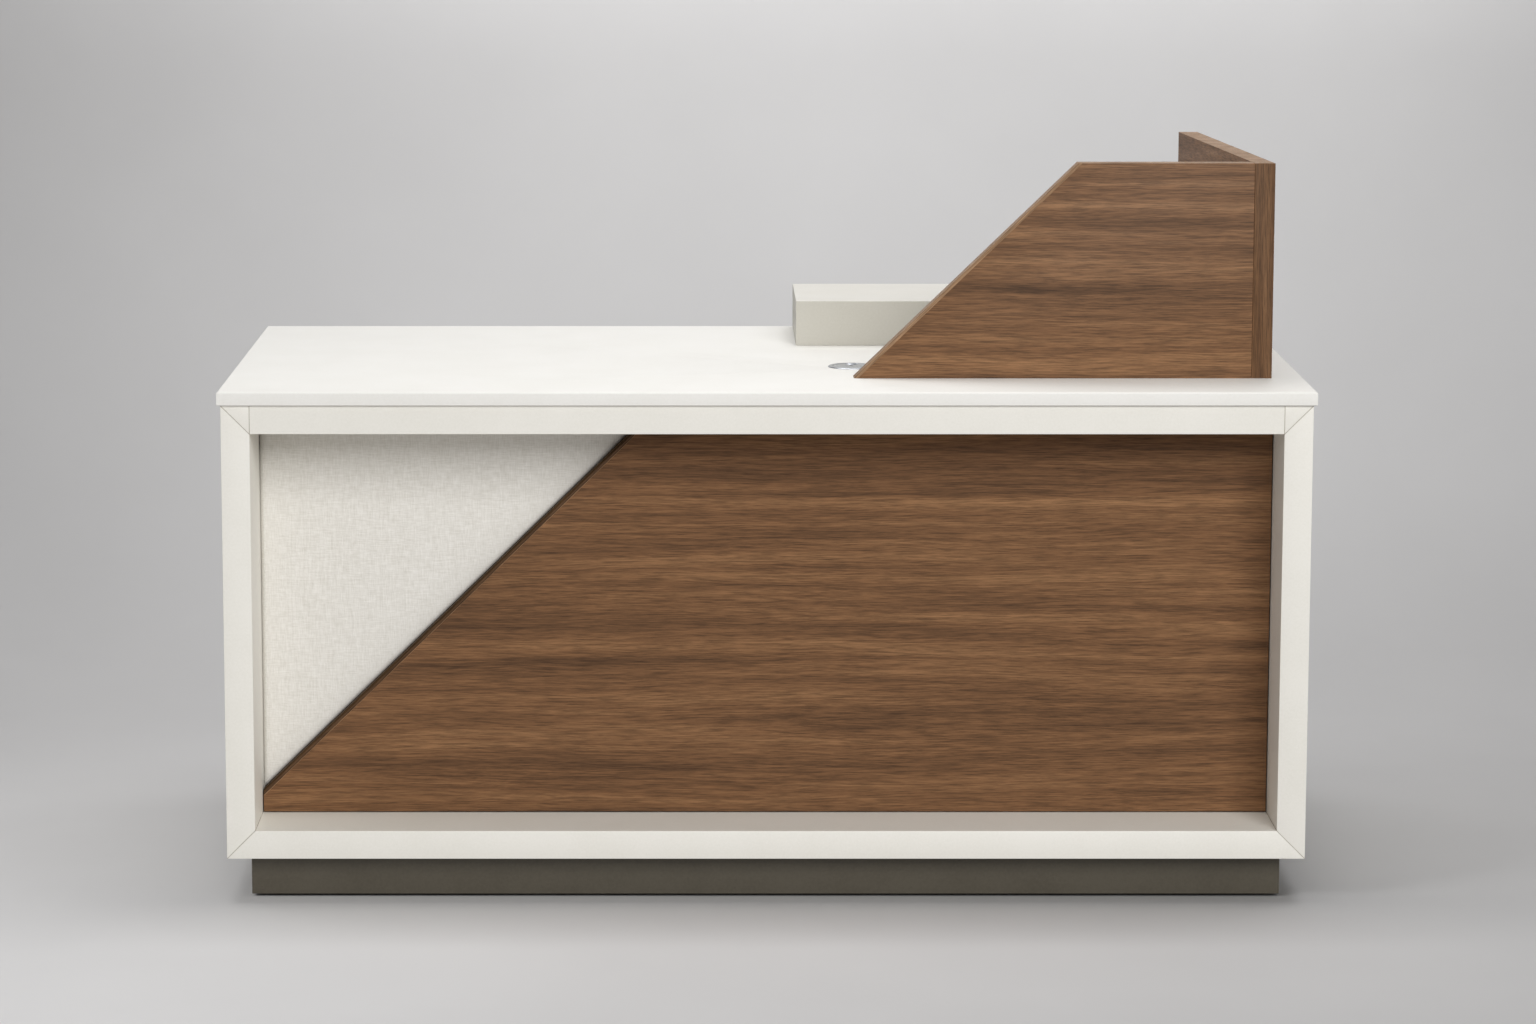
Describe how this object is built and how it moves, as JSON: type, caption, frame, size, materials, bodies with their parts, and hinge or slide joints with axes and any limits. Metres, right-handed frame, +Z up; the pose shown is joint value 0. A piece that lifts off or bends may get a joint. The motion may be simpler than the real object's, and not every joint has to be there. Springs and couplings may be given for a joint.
{
  "type": "reception desk",
  "caption": "Reception desk with a mitred white frame, walnut front cut on the diagonal over a fabric panel, slanted privacy screen, riser shelf and cable grommet.",
  "frame": {"origin": "on the floor, under the middle of the worktop, with the levelling feet at their rest height", "axes": "+X along the desk to the visitor's right, +Y from the visitor's side to the staff side, +Z up"},
  "size_m": [1.6, 0.8, 1.08],
  "materials": {
    "worktop_white": "satin warm white laminate on board",
    "frame_white": "satin off-white laminate on board",
    "walnut": "satin lacquered walnut veneer, grain along the panel",
    "lipping_dark": "dark stained lipping, bevelled",
    "lipping_pale": "solid walnut lipping, bevelled",
    "linen": "plain weave linen-look upholstery over board",
    "plinth_taupe": "dark taupe satin laminate",
    "riser_grey": "satin warm grey laminate",
    "raw_board": "raw particle board",
    "black_steel": "black powder coat on folded steel",
    "satin_metal": "satin metal",
    "dark_plastic": "moulded dark plastic"
  },
  "bodies": {
    "carcass": {"worktop": "worktop_white", "left_end_panel": "frame_white", "right_end_panel": "frame_white", "left_mitre_block": "frame_white", "right_mitre_block": "frame_white", "left_foot_rail": "frame_white", "right_foot_rail": "frame_white", "bottom_panel": "frame_white", "top_rail": "frame_white", "modesty_panel": "frame_white", "walnut_front_panel": "walnut", "front_diagonal_lipping": "lipping_dark", "fabric_panel": "linen", "screen_front_panel": "walnut", "screen_return": "walnut", "screen_diagonal_lipping": "lipping_pale", "riser_top": "riser_grey", "riser_front": "riser_grey", "riser_left_end": "riser_grey", "riser_right_end": "riser_grey", "riser_divider": "riser_grey", "grommet_liner": "satin_metal", "plinth_front": "plinth_taupe", "plinth_left": "plinth_taupe", "plinth_right": "plinth_taupe", "plinth_inner_front": "plinth_taupe", "plinth_inner_left": "plinth_taupe", "plinth_inner_right": "plinth_taupe", "plinth_rear_left": "plinth_taupe", "plinth_rear_right": "plinth_taupe", "foot_block_front_left": "raw_board", "foot_block_front_mid_left": "raw_board", "foot_block_front_mid_right": "raw_board", "foot_block_front_right": "raw_board", "foot_block_rear_left": "raw_board", "foot_block_rear_right": "raw_board", "worktop_bracket_left_front": "black_steel", "worktop_bracket_left_rear": "black_steel", "worktop_bracket_right_front": "black_steel", "worktop_bracket_right_rear": "black_steel", "screen_bracket_left": "black_steel", "screen_bracket_middle": "black_steel", "screen_bracket_right": "black_steel", "return_bracket_front": "black_steel", "return_bracket_rear": "black_steel", "rear_stiffener": "black_steel", "cable_tray": "black_steel"},
    "cap": {"grommet_cap": "satin_metal"},
    "shutter": {"grommet_shutter": "dark_plastic"},
    "foot_front_left": {"levelling_foot_front_left": "dark_plastic"},
    "foot_front_mid_left": {"levelling_foot_front_mid_left": "dark_plastic"},
    "foot_front_mid_right": {"levelling_foot_front_mid_right": "dark_plastic"},
    "foot_front_right": {"levelling_foot_front_right": "dark_plastic"},
    "foot_rear_left": {"levelling_foot_rear_left": "dark_plastic"},
    "foot_rear_right": {"levelling_foot_rear_right": "dark_plastic"}
  },
  "joints": [
    {"name": "cap_lift", "type": "slide", "parent": "carcass", "child": "cap", "axis": [0, 0, 1], "range_m": [0, 0.03]},
    {"name": "shutter_turn", "type": "hinge", "parent": "cap", "child": "shutter", "pos_m": [0.132, -0.108, 0.7582], "axis": [0, 0, 1], "range_deg": [0, 120]},
    {"name": "level_front_left", "type": "slide", "parent": "carcass", "child": "foot_front_left", "axis": [0, 0, 1], "range_m": [-0.012, 0.004]},
    {"name": "level_front_mid_left", "type": "slide", "parent": "carcass", "child": "foot_front_mid_left", "axis": [0, 0, 1], "range_m": [-0.012, 0.004]},
    {"name": "level_front_mid_right", "type": "slide", "parent": "carcass", "child": "foot_front_mid_right", "axis": [0, 0, 1], "range_m": [-0.012, 0.004]},
    {"name": "level_front_right", "type": "slide", "parent": "carcass", "child": "foot_front_right", "axis": [0, 0, 1], "range_m": [-0.012, 0.004]},
    {"name": "level_rear_left", "type": "slide", "parent": "carcass", "child": "foot_rear_left", "axis": [0, 0, 1], "range_m": [-0.012, 0.004]},
    {"name": "level_rear_right", "type": "slide", "parent": "carcass", "child": "foot_rear_right", "axis": [0, 0, 1], "range_m": [-0.012, 0.004]}
  ]
}
